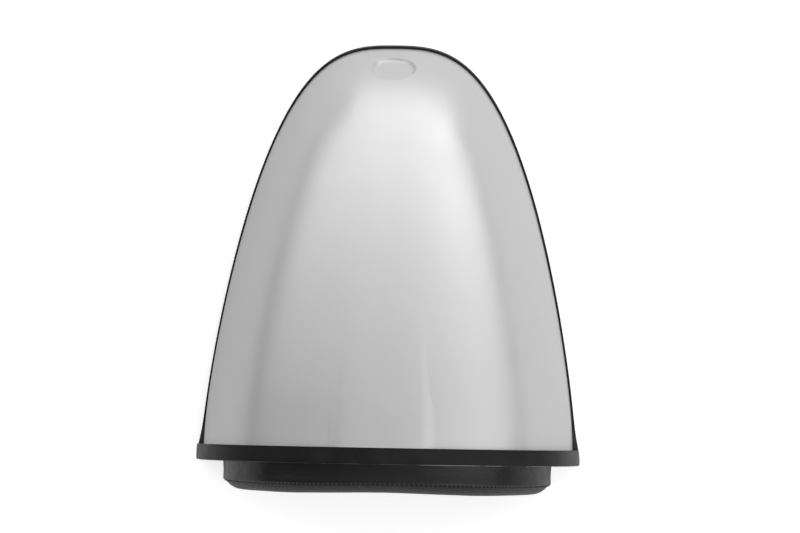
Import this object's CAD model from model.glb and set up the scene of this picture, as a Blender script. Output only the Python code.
# Looks for the motorbike seat cowl: materials, stitched pad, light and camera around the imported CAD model.
import math

import bmesh
import bpy
from mathutils import Matrix, Vector


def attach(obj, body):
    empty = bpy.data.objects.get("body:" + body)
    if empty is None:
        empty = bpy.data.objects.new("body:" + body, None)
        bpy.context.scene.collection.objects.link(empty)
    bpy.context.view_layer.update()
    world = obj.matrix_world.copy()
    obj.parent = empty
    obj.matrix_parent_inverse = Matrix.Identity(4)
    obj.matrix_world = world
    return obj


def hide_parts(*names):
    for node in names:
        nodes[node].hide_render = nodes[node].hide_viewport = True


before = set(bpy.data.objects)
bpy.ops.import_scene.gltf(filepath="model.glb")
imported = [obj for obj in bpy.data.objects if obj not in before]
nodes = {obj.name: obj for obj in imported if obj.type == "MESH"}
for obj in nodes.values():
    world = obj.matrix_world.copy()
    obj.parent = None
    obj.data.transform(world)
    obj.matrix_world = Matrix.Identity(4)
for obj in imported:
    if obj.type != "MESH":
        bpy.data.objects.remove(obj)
scene = bpy.context.scene
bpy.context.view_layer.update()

MM = 0.001

# Sizes of the hump that the pad and the paint mask follow, in millimetres
HALF_WIDTH = 121.5
SHELL_HEIGHT = 118.0
SHELL_REACH = 278.5
HUB_DROP = 25.0
HUB_RADIUS = 15.0
RIM_Z = 2.5
HUB_Z = RIM_Z - HUB_DROP
FRONT_Y = -127.292
PLAN_ALONG, PLAN_ACROSS = 1.22, 2.94
ARCH_ALONG, ARCH_ACROSS = 2.25, 2.38
POWER_FADE = 1.43
SKIN_LEVEL = 0.955

# Fine patterns in the materials, in metres
RIB_PITCH = 0.0016
TWIST_PITCH = 0.0006
PLY_PITCH = 0.0025

# Worn places on the channel: from where to where each one comes in, in metres
CORNER_SCUFF = (0.094, 0.126)
AHEAD_SCUFF = (-0.100, -0.116)
WORN_LIP = ((FRONT_Y - 2.1) * MM, (FRONT_Y - 2.4) * MM)


# Materials
def new_material(name, color, rough, metallic=0.0, specular=0.5):
    """Principled material with its plain values set on the shader's own sockets."""
    mat = bpy.data.materials.new(name)
    mat.use_nodes = True
    bsdf = mat.node_tree.nodes["Principled BSDF"]
    bsdf.inputs["Base Color"].default_value = (*color, 1.0)
    bsdf.inputs["Roughness"].default_value = rough
    bsdf.inputs["Metallic"].default_value = metallic
    bsdf.inputs["Specular IOR Level"].default_value = specular
    return mat, bsdf


class Graph:
    """Small helper that adds linked nodes to a material."""

    def __init__(self, mat):
        self.tree = mat.node_tree
        coords = self.tree.nodes.new("ShaderNodeTexCoord")
        self.place = coords.outputs["Object"]

    def set(self, socket, value):
        if isinstance(value, bpy.types.NodeSocket):
            self.tree.links.new(value, socket)
        else:
            socket.default_value = value

    def math(self, operation, a, b=0.0, c=0.0):
        n = self.tree.nodes.new("ShaderNodeMath")
        n.operation = operation
        for socket, value in zip(n.inputs, (a, b, c)):
            self.set(socket, value)
        return n.outputs[0]

    def noise(self, scale, detail=3.0, rough=0.5, stretch=None):
        n = self.tree.nodes.new("ShaderNodeTexNoise")
        n.inputs["Scale"].default_value = scale
        n.inputs["Detail"].default_value = detail
        n.inputs["Roughness"].default_value = rough
        place = self.scaled(self.place, stretch) if stretch else self.place
        self.tree.links.new(place, n.inputs["Vector"])
        return n.outputs["Fac"]

    def scaled(self, vector, factors):
        n = self.tree.nodes.new("ShaderNodeVectorMath")
        n.operation = "MULTIPLY"
        self.tree.links.new(vector, n.inputs[0])
        n.inputs[1].default_value = factors
        return n.outputs[0]

    def cells(self, scale, feature="F1", stretch=None):
        n = self.tree.nodes.new("ShaderNodeTexVoronoi")
        n.feature = feature
        n.inputs["Scale"].default_value = scale
        place = self.scaled(self.place, stretch) if stretch else self.place
        self.tree.links.new(place, n.inputs["Vector"])
        return n.outputs["Distance"]

    def span(self, value, low, high, out_low=0.0, out_high=1.0):
        n = self.tree.nodes.new("ShaderNodeMapRange")
        n.interpolation_type = "SMOOTHSTEP"
        self.set(n.inputs["Value"], value)
        n.inputs["From Min"].default_value = low
        n.inputs["From Max"].default_value = high
        n.inputs["To Min"].default_value = out_low
        n.inputs["To Max"].default_value = out_high
        return n.outputs["Result"]

    def mix(self, factor, a, b):
        n = self.tree.nodes.new("ShaderNodeMix")
        n.data_type = "RGBA"
        self.set(n.inputs["Factor"], factor)
        for socket, value in ((n.inputs[6], a), (n.inputs[7], b)):
            self.set(socket, value if isinstance(value, bpy.types.NodeSocket) else (*value, 1.0))
        return n.outputs[2]

    def axes(self):
        n = self.tree.nodes.new("ShaderNodeSeparateXYZ")
        self.tree.links.new(self.place, n.inputs[0])
        return n.outputs

    def bump(self, bsdf, layers):
        """Stacks bump layers, each a height, a strength and a depth in metres."""
        normal = None
        for height, strength, depth in layers:
            n = self.tree.nodes.new("ShaderNodeBump")
            n.inputs["Strength"].default_value = strength
            n.inputs["Distance"].default_value = depth
            self.tree.links.new(height, n.inputs["Height"])
            if normal:
                self.tree.links.new(normal, n.inputs["Normal"])
            normal = n.outputs["Normal"]
        self.tree.links.new(normal, bsdf.inputs["Normal"])


def outside_mask(g):
    """One on the outer face of the hump and nought on its inner face and on what stands inside it."""
    x, y, z = g.axes()
    back = g.math("ADD", y, -FRONT_Y * MM)
    up = g.math("ADD", z, -HUB_Z * MM)
    radial = g.math("SQRT", g.math("ADD", g.math("MULTIPLY", back, back), g.math("MULTIPLY", up, up)))
    cos_a, sin_a = g.math("DIVIDE", back, radial), g.math("DIVIDE", up, radial)
    along_part = g.math("DIVIDE", cos_a, SHELL_REACH * MM)
    up_part = g.math("DIVIDE", sin_a, (SHELL_HEIGHT + HUB_DROP) * MM)
    squares = g.math("ADD", g.math("MULTIPLY", along_part, along_part), g.math("MULTIPLY", up_part, up_part))
    crown = g.math("SUBTRACT", g.math("INVERSE_SQRT", squares), HUB_RADIUS * MM)
    fade = g.math("POWER", g.math("MAXIMUM", sin_a, 0.0), POWER_FADE)
    along = g.math("MULTIPLY_ADD", fade, ARCH_ALONG - PLAN_ALONG, PLAN_ALONG)
    across = g.math("MULTIPLY_ADD", fade, ARCH_ACROSS - PLAN_ACROSS, PLAN_ACROSS)
    rise = g.math("MAXIMUM", g.math("DIVIDE", g.math("SUBTRACT", radial, HUB_RADIUS * MM), crown), 0.0)
    share = g.math("DIVIDE", g.math("ABSOLUTE", x), HALF_WIDTH * MM)
    level = g.math("ADD", g.math("POWER", rise, along), g.math("POWER", share, across))
    near_skin = g.math("GREATER_THAN", level, SKIN_LEVEL)
    geometry = g.tree.nodes.new("ShaderNodeNewGeometry")
    facing = g.tree.nodes.new("ShaderNodeVectorMath")
    facing.operation = "DOT_PRODUCT"
    g.tree.links.new(geometry.outputs["True Normal"], facing.inputs[0])
    g.tree.links.new(g.place, facing.inputs[1])
    outward = g.math("GREATER_THAN", facing.outputs["Value"], 0.0)
    return g.math("MULTIPLY", near_skin, outward)


def silver_paint():
    """Silver base coat under clear coat outside, bare black ABS inside."""
    mat, bsdf = new_material("silver_paint", (0.62, 0.62, 0.62), 0.34)
    bsdf.inputs["Coat Weight"].default_value = 0.2
    bsdf.inputs["Coat Roughness"].default_value = 0.16
    bsdf.inputs["Coat IOR"].default_value = 1.5
    g = Graph(mat)
    outside = outside_mask(g)
    flake = g.noise(2600.0, 1.0)
    cloud = g.noise(9.0, 2.0)
    flake_color = g.mix(flake, (0.60, 0.60, 0.605), (0.69, 0.69, 0.695))
    paint = g.mix(g.span(cloud, 0.3, 0.7, 0.0, 0.25), flake_color, (0.62, 0.62, 0.625))
    grain = g.noise(900.0, 4.0)
    bare = g.mix(grain, (0.018, 0.018, 0.019), (0.035, 0.035, 0.036))
    g.set(bsdf.inputs["Base Color"], g.mix(outside, bare, paint))
    g.set(bsdf.inputs["Metallic"], g.math("MULTIPLY", outside, 0.45))
    paint_rough = g.span(g.noise(45.0, 4.0), 0.25, 0.75, 0.29, 0.35)
    bare_rough = g.span(grain, 0.2, 0.8, 0.5, 0.62)
    paint_side = g.math("MULTIPLY", paint_rough, outside)
    bare_side = g.math("MULTIPLY", bare_rough, g.math("SUBTRACT", 1.0, outside))
    g.set(bsdf.inputs["Roughness"], g.math("ADD", paint_side, bare_side))
    peel = g.noise(420.0, 2.0)
    bare_bump = g.math("MULTIPLY", grain, g.math("SUBTRACT", 1.0, outside))
    g.bump(bsdf, [(peel, 0.05, 0.00006), (bare_bump, 0.5, 0.00025)])
    return mat


def rubber(name, scuffed):
    """Extruded black rubber: fine drag lines, dull patches and pale scuffs at the front corners."""
    mat, bsdf = new_material(name, (0.01, 0.01, 0.01), 0.5, specular=0.22)
    g = Graph(mat)
    x, y, _ = g.axes()
    drag = g.noise(1400.0, 3.0, stretch=(0.06, 1.0, 1.0))
    patch = g.noise(60.0, 5.0, 0.6)
    color = g.mix(g.span(patch, 0.35, 0.75), (0.006, 0.006, 0.0062), (0.012, 0.012, 0.0122))
    rough = g.span(patch, 0.3, 0.8, 0.38, 0.56)
    if scuffed:
        corner = g.span(g.math("ABSOLUTE", x), *CORNER_SCUFF)
        ahead = g.span(y, *AHEAD_SCUFF)
        streak = g.noise(260.0, 6.0, 0.65, stretch=(1.0, 0.35, 1.0))
        scuff = g.math("MULTIPLY", g.math("MULTIPLY", corner, ahead), g.span(streak, 0.3, 0.8, 0.45, 1.0))
        color = g.mix(scuff, color, (0.055, 0.055, 0.055))
        crease = g.cells(95.0, "DISTANCE_TO_EDGE", (1.0, 0.45, 0.6))
        line = g.math("MULTIPLY", g.span(crease, 0.0, 0.03, 1.0, 0.0), g.math("MULTIPLY", corner, ahead))
        color = g.mix(g.math("MULTIPLY", line, 0.22), color, (0.16, 0.16, 0.16))
        lip = g.span(y, *WORN_LIP)
        fleck = g.span(g.noise(70.0, 6.0, 0.65, stretch=(1.0, 0.3, 0.3)), 0.44, 0.54)
        upward = g.tree.nodes.new("ShaderNodeSeparateXYZ")
        g.tree.links.new(g.tree.nodes.new("ShaderNodeNewGeometry").outputs["Normal"], upward.inputs[0])
        worn = g.math("MULTIPLY", g.math("MULTIPLY", lip, fleck), g.span(upward.outputs[2], 0.3, 0.5))
        color = g.mix(g.math("MULTIPLY", worn, g.span(x, 0.01, 0.04, 0.15, 1.0)), color, (0.55, 0.55, 0.55))
    g.set(bsdf.inputs["Base Color"], color)
    g.set(bsdf.inputs["Roughness"], rough)
    g.bump(bsdf, [(drag, 0.25, 0.00008), (g.noise(500.0, 4.0), 0.12, 0.0001)])
    return mat


def vinyl(name, ribbed):
    """Black upholstery vinyl: smooth with a fine hide grain, or embossed with a fine weave."""
    mat, bsdf = new_material(name, (0.007, 0.007, 0.007), 0.4, specular=0.3 if ribbed else 0.4)
    g = Graph(mat)
    x, y, z = g.axes()
    hide = g.cells(1100.0, "SMOOTH_F1")
    fold = g.noise(38.0, 4.0, 0.55, stretch=(0.5, 1.6, 1.0))
    color = g.mix(g.span(fold, 0.3, 0.75), (0.005, 0.005, 0.0052), (0.009, 0.009, 0.0092))
    rough = g.span(g.noise(120.0, 4.0), 0.3, 0.75, 0.25, 0.36)
    layers = [(fold, 0.45, 0.0022), (hide, 0.22, 0.00012)]
    if ribbed:
        across = g.math("SINE", g.math("MULTIPLY", x, 2 * math.pi / RIB_PITCH))
        along = g.math("SINE", g.math("MULTIPLY", g.math("ADD", z, y), 2 * math.pi / RIB_PITCH))
        weave = g.math("MULTIPLY", across, along)
        color = g.mix(g.span(weave, -0.6, 0.6), (0.004, 0.004, 0.0042), (0.014, 0.014, 0.0142))
        rough = g.span(weave, -0.8, 0.8, 0.36, 0.24)
        layers.append((weave, 0.7, 0.0003))
    g.set(bsdf.inputs["Base Color"], color)
    g.set(bsdf.inputs["Roughness"], rough)
    g.bump(bsdf, layers)
    return mat


def thread_material():
    """Twisted black polyester thread."""
    mat, bsdf = new_material("black_thread", (0.006, 0.006, 0.006), 0.75, specular=0.25)
    g = Graph(mat)
    x, y, z = g.axes()
    diagonal = g.math("ADD", g.math("ADD", x, y), z)
    twist = g.math("SINE", g.math("MULTIPLY", diagonal, 2 * math.pi / TWIST_PITCH))
    color = g.mix(g.span(twist, -1, 1), (0.003, 0.003, 0.003), (0.008, 0.008, 0.008))
    g.set(bsdf.inputs["Base Color"], color)
    g.bump(bsdf, [(twist, 0.6, 0.0001)])
    return mat


def textured_plastic():
    """Moulded black ABS with a spark-eroded grain."""
    mat, bsdf = new_material("black_abs", (0.022, 0.022, 0.022), 0.55)
    g = Graph(mat)
    grain = g.noise(1500.0, 5.0, 0.6)
    haze = g.noise(30.0, 3.0)
    g.set(bsdf.inputs["Base Color"], g.mix(haze, (0.017, 0.017, 0.018), (0.032, 0.032, 0.033)))
    g.set(bsdf.inputs["Roughness"], g.span(grain, 0.3, 0.7, 0.46, 0.62))
    g.bump(bsdf, [(grain, 0.4, 0.00015)])
    return mat


def plated_steel(name, color, rough):
    """Zinc plated steel with a mottled, slightly yellowed finish."""
    mat, bsdf = new_material(name, color, rough, metallic=1.0)
    g = Graph(mat)
    mottle = g.noise(320.0, 4.0)
    warm = tuple(c * f for c, f in zip(color, (0.98, 0.93, 0.78)))
    g.set(bsdf.inputs["Base Color"], g.mix(g.span(mottle, 0.35, 0.75), color, warm))
    g.set(bsdf.inputs["Roughness"], g.span(g.noise(900.0, 4.0), 0.3, 0.7, rough - 0.07, rough + 0.12))
    g.bump(bsdf, [(g.noise(2200.0, 3.0), 0.2, 0.00006)])
    return mat


def plywood():
    """Birch plywood: long grain on the faces and ply lines on the edge."""
    mat, bsdf = new_material("plywood", (0.55, 0.40, 0.24), 0.6)
    g = Graph(mat)
    y = g.axes()["Y"]
    grain = g.noise(240.0, 5.0, 0.6, stretch=(0.07, 1.0, 1.0))
    ply = g.span(g.math("SINE", g.math("MULTIPLY", y, 2 * math.pi / PLY_PITCH)), -0.3, 0.3)
    face = g.mix(g.span(grain, 0.3, 0.7), (0.62, 0.46, 0.28), (0.46, 0.32, 0.18))
    g.set(bsdf.inputs["Base Color"], g.mix(g.math("MULTIPLY", ply, 0.35), face, (0.30, 0.19, 0.10)))
    g.bump(bsdf, [(grain, 0.3, 0.0002)])
    return mat


def dress(node, mat):
    """Puts a material on a CAD node."""
    mesh = nodes[node].data
    mesh.materials.clear()
    mesh.materials.append(mat)


vinyl_smooth = vinyl("vinyl_smooth", ribbed=False)
vinyl_ribbed = vinyl("vinyl_ribbed", ribbed=True)
zinc = plated_steel("zinc_plate", (0.60, 0.60, 0.60), 0.32)
dress("cowl_shell", silver_paint())
dress("edge_trim", rubber("channel_rubber", scuffed=True))
dress("front_bulkhead", textured_plastic())
dress("pad_board", plywood())
dress("cover_staples", plated_steel("staple_wire", (0.66, 0.65, 0.62), 0.25))
dress("pad_tee_nuts", zinc)
dress("pad_screws", plated_steel("screw_steel", (0.45, 0.45, 0.46), 0.3))
dress("pad_washers", zinc)
dress("mount_collars", zinc)
dress("mount_grommets", rubber("grommet_rubber", scuffed=False))


# Pad: sizes in millimetres
PAD_INSET = 11.5
PAD_BOTTOM = 7.5
PAD_CORNER = 14.0
PAD_BACK = 7.8
VINYL = 1.2
SEAM_OUT = 14.6
SEAM_SWELL = 0.9
LOBE_HALF = 75.0
SEAM_TURN = 2.6
BACK_TURN = 12.0
BOXING_WAIST, BOXING_WAVE = 1.6, 0.62
BOXING_START, BOXING_ROLL, BOXING_STEPS = 3.2, 1.6, 16
BOXING_PUCKER = 0.35
STITCH_PITCH = 3.0
OUTLINE_STEPS_PER_STITCH = 4
ARCH_STEPS, CORNER_STEPS, BOTTOM_STEPS = 720, 24, 60


def raw_outline():
    """Pad outline in X and Z: the arch from the right foot over the crown, with rounded lower corners."""
    half = HALF_WIDTH - PAD_INSET
    crown = SHELL_HEIGHT + HUB_DROP - PAD_INSET - HUB_RADIUS
    base = HUB_Z + HUB_RADIUS
    corner_z = PAD_BOTTOM + PAD_CORNER
    arch = []
    for i in range(ARCH_STEPS + 1):
        share = math.cos(math.pi * i / ARCH_STEPS)
        z = base + crown * max(0.0, 1 - abs(share) ** ARCH_ACROSS) ** (1 / ARCH_ALONG)
        if z >= corner_z:
            arch.append((half * share, z))
    foot = arch[0][0]
    right = [
        (foot - PAD_CORNER * (1 - math.cos(a)), corner_z - PAD_CORNER * math.sin(a))
        for a in [math.pi / 2 * (1 - k / CORNER_STEPS) for k in range(CORNER_STEPS)]
    ]
    left = [(-x, z) for x, z in reversed(right)]
    end = right[0][0]
    bottom = [(-end + 2 * end * k / BOTTOM_STEPS, PAD_BOTTOM) for k in range(1, BOTTOM_STEPS)]
    return right + arch + left + bottom


def even_loop(points, count):
    """Closed loop of points at even steps along a closed line."""
    total = [0.0]
    for a, b in zip(points, points[1:] + points[:1]):
        total.append(total[-1] + math.dist(a, b))
    loop, j = [], 0
    for i in range(count):
        want = total[-1] * i / count
        while total[j + 1] < want:
            j += 1
        t = (want - total[j]) / (total[j + 1] - total[j])
        a, b = points[j], points[(j + 1) % len(points)]
        loop.append((a[0] + (b[0] - a[0]) * t, a[1] + (b[1] - a[1]) * t))
    return loop, total[-1]


raw = raw_outline()
raw_length = even_loop(raw, 4)[1]
stitches = round(raw_length / STITCH_PITCH)
ring_count = stitches * OUTLINE_STEPS_PER_STITCH
outline = even_loop(raw, ring_count)[0]


def loop_normals(loop):
    """Outward unit normals of a closed loop that runs right, over the top and left."""
    result = []
    for i in range(len(loop)):
        (x0, z0), (x1, z1) = loop[i - 3], loop[(i + 3) % len(loop)]
        length = math.hypot(x1 - x0, z1 - z0)
        result.append(((z1 - z0) / length, -(x1 - x0) / length))
    return result


normals = loop_normals(outline)


def lobe(x):
    """Nought in the middle of the pad, one at its fuller sides."""
    return 0.5 - 0.5 * math.cos(math.pi * min(abs(x) / LOBE_HALF, 1.0))


def seam_out(x):
    """How far the seam stands ahead of the shell's front edge."""
    return SEAM_OUT + SEAM_SWELL * lobe(x)


def pucker(i):
    """Vinyl is drawn in at each needle hole: one at a hole, nought between holes."""
    return 0.5 + 0.5 * math.cos(2 * math.pi * i / OUTLINE_STEPS_PER_STITCH)


def mesh_piece(name, verts, faces, mat):
    """New object from vertices in millimetres, with smooth faces turned outward."""
    mesh = bpy.data.meshes.new(name)
    mesh.from_pydata([Vector(v) * MM for v in verts], [], faces)
    bm = bmesh.new()
    bm.from_mesh(mesh)
    bmesh.ops.remove_doubles(bm, verts=bm.verts, dist=0.02 * MM)
    bmesh.ops.recalc_face_normals(bm, faces=bm.faces)
    bm.to_mesh(mesh)
    bm.free()
    for polygon in mesh.polygons:
        polygon.use_smooth = True
    mesh.materials.append(mat)
    piece = bpy.data.objects.new(name, mesh)
    scene.collection.objects.link(piece)
    return piece


def ring_faces(rings, count, closed_rings=False):
    """Quads between neighbouring rings of the same count."""
    faces = []
    last = rings if closed_rings else rings - 1
    for r in range(last):
        for i in range(count):
            j = (i + 1) % count
            a, b = r * count, ((r + 1) % rings) * count
            faces.append((a + i, a + j, b + j, b + i))
    return faces


def boxing_inset(t):
    """Inset of the boxing from the board's outline, from the channel (0) to the seam (1)."""
    return BOXING_WAIST * math.sin(BOXING_WAVE * math.pi * t)


def boxing_profile(i):
    """Outer then inner points of the boxing's section at one place on the outline: inset and distance out."""
    x = outline[i][0]
    seam = seam_out(x)
    turned = [(BACK_TURN, 0.0), (4.0, 0.0), (1.6, 0.1), (0.5, 0.6), (0.1, 1.7)]
    outer = [(inset, ahead - PAD_BACK) for inset, ahead in turned]
    start, end = BOXING_START - PAD_BACK, seam - BOXING_ROLL
    for k in range(BOXING_STEPS + 1):
        t = k / BOXING_STEPS
        outer.append((boxing_inset(t), start + (end - start) * t))
    edge = outer[-1][0]
    pull = BOXING_PUCKER * pucker(i)
    outer += [
        (edge + 0.05 + 0.4 * pull, seam - 1.0), (edge + 0.35 + pull, seam - 0.45),
        (edge + 1.0 + pull, seam - 0.05), (edge + SEAM_TURN, seam + 0.1),
    ]
    inner = [
        (edge + SEAM_TURN, seam - 1.2), (edge + VINYL + 0.4, seam - 2.0),
        (VINYL + 2.4, 0.0), (VINYL + 1.2, VINYL - PAD_BACK), (BACK_TURN, VINYL - PAD_BACK),
    ]
    return outer + inner


def at(i, inset, out):
    """Point at an inset from the outline and a distance ahead of the shell's front edge."""
    (x, z), (nx, nz) = outline[i], normals[i]
    return (x - nx * inset, FRONT_Y - out, z - nz * inset)


profiles = [boxing_profile(i) for i in range(ring_count)]
boxing_rings = len(profiles[0])
boxing_verts = [at(i, *profiles[i][r]) for r in range(boxing_rings) for i in range(ring_count)]
boxing = mesh_piece(
    "pad_cover_boxing", boxing_verts, ring_faces(boxing_rings, ring_count, closed_rings=True), vinyl_smooth
)

PANEL_EDGE = boxing_inset(1.0) + 1.5
PANEL_SINK = 0.6
PANEL_PUCKER = 0.5
PANEL_LEAST, PANEL_SWELL = 5.6, 0.8
PANEL_ROUND = 14.0
PANEL_BACK_INSET, PANEL_BACK_DEPTH = 0.4, 2.6
MEDIAL_HALF = 62.0
MEDIAL_SHARE = 0.62
MEDIAL_Z = 50.0
MEDIAL_STEPS = 40
CLOTH_STEP = 2
CLOTH_FRAMES = 18
PANEL_SHARES = (0.0, 0.012, 0.028, 0.05, 0.08, 0.115, 0.16, 0.21, 0.27, 0.34, 0.42, 0.51, 0.62, 0.74, 0.87)


def panel_depth(x):
    """How far the panel swells out from its seam: fuller towards the sides."""
    return PANEL_LEAST + PANEL_SWELL * lobe(x)


def medial_x(i):
    """Where the line inward from one place of the outline meets the pad's middle row."""
    return max(-MEDIAL_HALF, min(MEDIAL_HALF, (outline[i][0] - normals[i][0] * PANEL_EDGE) * MEDIAL_SHARE))


def panel_point(i, share):
    """Point of the panel before it is filled, a share of the way from the seam to the pad's middle row."""
    (x, z), (nx, nz) = outline[i], normals[i]
    start_x, start_z = x - nx * PANEL_EDGE, z - nz * PANEL_EDGE
    px = start_x + (medial_x(i) - start_x) * share
    pz = start_z + (MEDIAL_Z - start_z) * share
    inward = math.hypot(px - start_x, pz - start_z)
    rounding = min(1.0, inward / PANEL_ROUND)
    rise = (1 - (1 - rounding) ** 2) ** 0.8
    out = seam_out(x) - PANEL_SINK + panel_depth(px) * rise
    if share == 0.0:
        out -= PANEL_PUCKER * pucker(i)
    return (px, FRONT_Y - out, pz)


def filled(piece, pinned):
    """Runs the panel as cloth over its filling, held at the seam, and keeps the settled shape."""
    group = piece.vertex_groups.new(name="seam")
    group.add(pinned, 1.0, "REPLACE")
    cloth = piece.modifiers.new("cloth", "CLOTH").settings
    cloth.quality = 6
    cloth.mass = 0.3
    cloth.vertex_group_mass = "seam"
    cloth.tension_stiffness = cloth.compression_stiffness = 40.0
    cloth.shear_stiffness = 20.0
    cloth.bending_stiffness = 4.0
    cloth.tension_damping = cloth.compression_damping = 15.0
    cloth.use_pressure = True
    cloth.uniform_pressure_force = 0.8
    cloth.effector_weights.gravity = 0.0
    piece.modifiers["cloth"].point_cache.frame_end = CLOTH_FRAMES
    smooth = piece.modifiers.new("smooth", "SUBSURF")
    smooth.levels = smooth.render_levels = 1
    for step in range(1, CLOTH_FRAMES + 1):
        scene.frame_set(step)
    settled = bpy.data.meshes.new_from_object(piece.evaluated_get(bpy.context.evaluated_depsgraph_get()))
    piece.modifiers.clear()
    piece.vertex_groups.clear()
    piece.data = settled
    scene.frame_set(1)


def close_back(piece):
    """Closes the open back of a piece with one face."""
    bm = bmesh.new()
    bm.from_mesh(piece.data)
    bmesh.ops.edgeloop_fill(bm, edges=[e for e in bm.edges if e.is_boundary])
    bmesh.ops.recalc_face_normals(bm, faces=bm.faces)
    bm.to_mesh(piece.data)
    bm.free()


panel_ring = range(0, ring_count, CLOTH_STEP)
panel_count = len(panel_ring)
panel_verts = [panel_point(i, share) for share in PANEL_SHARES for i in panel_ring]
panel_faces = ring_faces(len(PANEL_SHARES), panel_count)
medial_row = len(panel_verts)
for k in range(MEDIAL_STEPS + 1):
    x = MEDIAL_HALF * (2 * k / MEDIAL_STEPS - 1)
    panel_verts.append((x, FRONT_Y - seam_out(x / MEDIAL_SHARE) + PANEL_SINK - panel_depth(x), MEDIAL_Z))
last_ring = medial_row - panel_count
ends = [medial_row + round((medial_x(i) / MEDIAL_HALF + 1) / 2 * MEDIAL_STEPS) for i in panel_ring]
for k in range(panel_count):
    n = (k + 1) % panel_count
    corners = (last_ring + k, last_ring + n, ends[n], ends[k])
    panel_faces.append(corners if ends[n] != ends[k] else corners[:3])
back_ring = len(panel_verts)
panel_verts += [
    at(i, PANEL_EDGE + PANEL_BACK_INSET, seam_out(outline[i][0]) - PANEL_BACK_DEPTH) for i in panel_ring
]
panel_faces += [
    (i, back_ring + i, back_ring + (i + 1) % panel_count, (i + 1) % panel_count) for i in range(panel_count)
]
panel = mesh_piece("pad_cover_panel", panel_verts, panel_faces, vinyl_ribbed)
panel_total = len(panel.data.vertices)
filled(panel, [*range(panel_count), *range(panel_total - panel_count, panel_total)])
close_back(panel)

THREAD_RADIUS = 0.36
THREAD_SIDES = 8
THREAD_INSET = boxing_inset(1.0) + 1.25
THREAD_LIFT, THREAD_HALF, THREAD_DIP = 0.12, 1.12, 0.42
thread_rings = (-1.0, -0.86, -0.5, 0.0, 0.5, 0.86, 1.0)


def seam_point(i, lift=0.0):
    """Point on the line of stitching."""
    i %= ring_count
    return Vector(at(i, THREAD_INSET, seam_out(outline[i][0]) + lift))


thread_verts, thread_faces = [], []
for s in range(stitches):
    m = s * OUTLINE_STEPS_PER_STITCH + OUTLINE_STEPS_PER_STITCH // 2
    seat = seam_point(m, THREAD_LIFT)
    along = (seam_point(m + 1) - seam_point(m - 1)).normalized()
    outward = Vector((normals[m][0], -1.0, normals[m][1])).normalized()
    outward = (outward - along * outward.dot(along)).normalized()
    side = along.cross(outward)
    base = len(thread_verts)
    for r in thread_rings:
        center = seat + along * (r * THREAD_HALF) - outward * (THREAD_DIP * r * r)
        size = THREAD_RADIUS * math.sqrt(max(0.05, 1 - abs(r) ** 3))
        for k in range(THREAD_SIDES):
            angle = 2 * math.pi * k / THREAD_SIDES
            thread_verts.append(center + (side * math.cos(angle) + outward * math.sin(angle)) * size)
    for r in range(len(thread_rings) - 1):
        for k in range(THREAD_SIDES):
            n = (k + 1) % THREAD_SIDES
            p = base + r * THREAD_SIDES
            thread_faces.append((p + k, p + n, p + THREAD_SIDES + n, p + THREAD_SIDES + k))
    thread_faces.append(tuple(base + k for k in reversed(range(THREAD_SIDES))))
    thread_faces.append(tuple(base + (len(thread_rings) - 1) * THREAD_SIDES + k for k in range(THREAD_SIDES)))
thread = mesh_piece("seam_thread", thread_verts, thread_faces, thread_material())

for piece, slot_name in ((boxing, "pad_boxing"), (panel, "pad_front_panel"), (thread, "pad_boxing")):
    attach(piece, "root")
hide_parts("pad_boxing")
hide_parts("pad_front_panel", "pad_foam")


# Stage, light and camera
FLOOR_LIFT, MIRROR_LIFT = 0.62, 0.03
FLOOR_REACH = 30.0
FLOOR_GAP = 0.0005


def floor_material():
    """Pale matt floor that keeps the shadow, near white to the camera and a little lifted in reflections."""
    mat = bpy.data.materials.new("pale_floor")
    mat.use_nodes = True
    tree = mat.node_tree
    bsdf = tree.nodes["Principled BSDF"]
    bsdf.inputs["Base Color"].default_value = (0.80, 0.80, 0.80, 1.0)
    bsdf.inputs["Roughness"].default_value = 0.9
    path = tree.nodes.new("ShaderNodeLightPath")

    def floor_math(operation, a, b):
        n = tree.nodes.new("ShaderNodeMath")
        n.operation = operation
        for socket, value in zip(n.inputs, (a, b)):
            if isinstance(value, bpy.types.NodeSocket):
                tree.links.new(value, socket)
            else:
                socket.default_value = value
        return n.outputs[0]

    mirrored = floor_math("MAXIMUM", path.outputs["Is Glossy Ray"], path.outputs["Is Transmission Ray"])
    seen = floor_math("MULTIPLY", path.outputs["Is Camera Ray"], FLOOR_LIFT)
    lift = floor_math("ADD", seen, floor_math("MULTIPLY", mirrored, MIRROR_LIFT))
    bsdf.inputs["Emission Color"].default_value = (1.0, 1.0, 1.0, 1.0)
    tree.links.new(lift, bsdf.inputs["Emission Strength"])
    return mat


floor_mesh = bpy.data.meshes.new("floor")
floor_corners = [(a * FLOOR_REACH, b * FLOOR_REACH, 0) for a, b in ((-1, -1), (1, -1), (1, 1), (-1, 1))]
floor_mesh.from_pydata(floor_corners, [], [(0, 1, 2, 3)])
floor = bpy.data.objects.new("floor", floor_mesh)
floor.location.z = -FLOOR_GAP
floor_mesh.materials.append(floor_material())
scene.collection.objects.link(floor)

# Studio sky: two broad keys from the tail, soft fills from above, left and front right, and a dark horizon
SKY_LOBES = (
    ((2.0, 3.0, 1.0), 1.9, 4.0),
    ((-2.0, 3.0, 1.0), 1.2, 4.0),
    ((0.0, 0.0, 1.0), 0.24, 3.0),
    ((-1.0, 0.1, 0.1), 0.2, 5.9),
    ((1.0, -1.0, 0.6), 1.9, 5.0),
)
HORIZON_FADE = 0.3

world = bpy.data.worlds.new("studio")
world.use_nodes = True
scene.world = world
sky = world.node_tree
background = sky.nodes["Background"]
background.inputs["Color"].default_value = (1.0, 1.0, 1.0, 1.0)
direction = sky.nodes.new("ShaderNodeTexCoord").outputs["Generated"]


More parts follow.
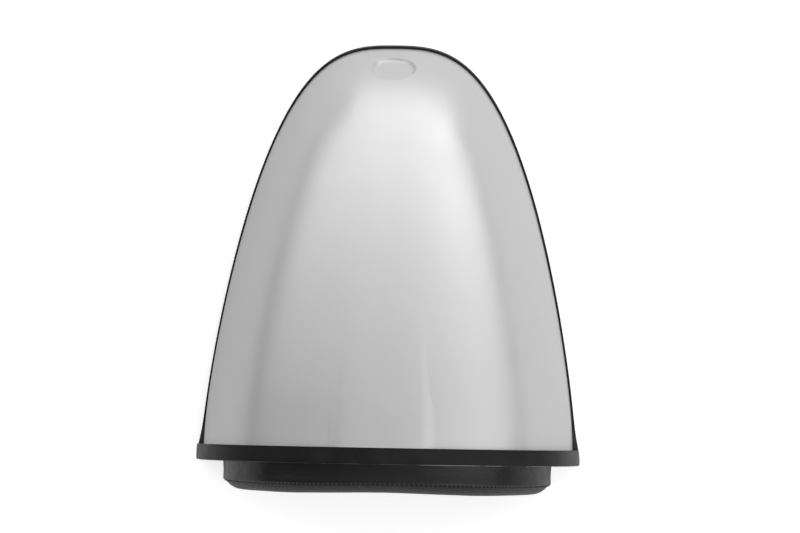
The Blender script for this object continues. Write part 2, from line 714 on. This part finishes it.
def sky_math(operation, a, b=0.0):
    """Math node in the world's tree."""
    n = sky.nodes.new("ShaderNodeMath")
    n.operation = operation
    for socket, value in zip(n.inputs, (a, b)):
        if isinstance(value, bpy.types.NodeSocket):
            sky.links.new(value, socket)
        else:
            socket.default_value = value
    return n.outputs[0]


def sky_dot(vector):
    """Cosine of the angle between the sky direction and a given one."""
    n = sky.nodes.new("ShaderNodeVectorMath")
    n.operation = "DOT_PRODUCT"
    sky.links.new(direction, n.inputs[0])
    n.inputs[1].default_value = Vector(vector).normalized()
    return n.outputs["Value"]


glow = 0.0
for lobe_direction, strength, sharpness in SKY_LOBES:
    falloff = sky_math("MULTIPLY", sky_math("SUBTRACT", sky_dot(lobe_direction), 1.0), sharpness)
    glow = sky_math("ADD", sky_math("MULTIPLY", sky_math("EXPONENT", falloff), strength), glow)
above = sky.nodes.new("ShaderNodeMapRange")
above.interpolation_type = "SMOOTHSTEP"
above.inputs["From Max"].default_value = HORIZON_FADE
sky.links.new(sky_dot((0, 0, 1)), above.inputs["Value"])
sky.links.new(sky_math("MULTIPLY", glow, above.outputs["Result"]), background.inputs["Strength"])


def softbox(name, place, aim, size, power):
    """Rectangular soft light that faces a point."""
    light = bpy.data.lights.new(name, "AREA")
    light.shape = "RECTANGLE"
    light.size, light.size_y = size
    light.energy = power
    lamp = bpy.data.objects.new(name, light)
    lamp.location = place
    lamp.rotation_euler = (Vector(aim) - Vector(place)).to_track_quat("-Z", "Y").to_euler()
    scene.collection.objects.link(lamp)


softbox("tail_card", (0.1, 0.8, 0.14), (0.0, 0.12, 0.04), (0.7, 0.22), 0.5)

CAMERA_PLACE = Vector((42.67, -112.27, 1305.14)) * MM
CAMERA_AIM = Vector((5.596, -0.279, 2.5)) * MM
CAMERA_ROLL = 0.0185
FOCAL_PIXELS, IMAGE_WIDTH = 1968.0, 800.0
SENSOR = 36.0

camera_data = bpy.data.cameras.new("camera")
camera_data.sensor_fit = "HORIZONTAL"
camera_data.sensor_width = SENSOR
camera_data.lens = FOCAL_PIXELS / IMAGE_WIDTH * SENSOR
camera_data.clip_start = 0.05
camera = bpy.data.objects.new("camera", camera_data)
forward = (CAMERA_AIM - CAMERA_PLACE).normalized()
flat_right = forward.cross(Vector((0, 1, 0))).normalized()
flat_up = flat_right.cross(forward)
right = flat_right * math.cos(CAMERA_ROLL) + flat_up * math.sin(CAMERA_ROLL)
up = flat_up * math.cos(CAMERA_ROLL) - flat_right * math.sin(CAMERA_ROLL)
camera.matrix_world = Matrix.Translation(CAMERA_PLACE) @ Matrix((right, up, -forward)).transposed().to_4x4()
scene.collection.objects.link(camera)
scene.camera = camera
scene.view_settings.view_transform = "Standard"
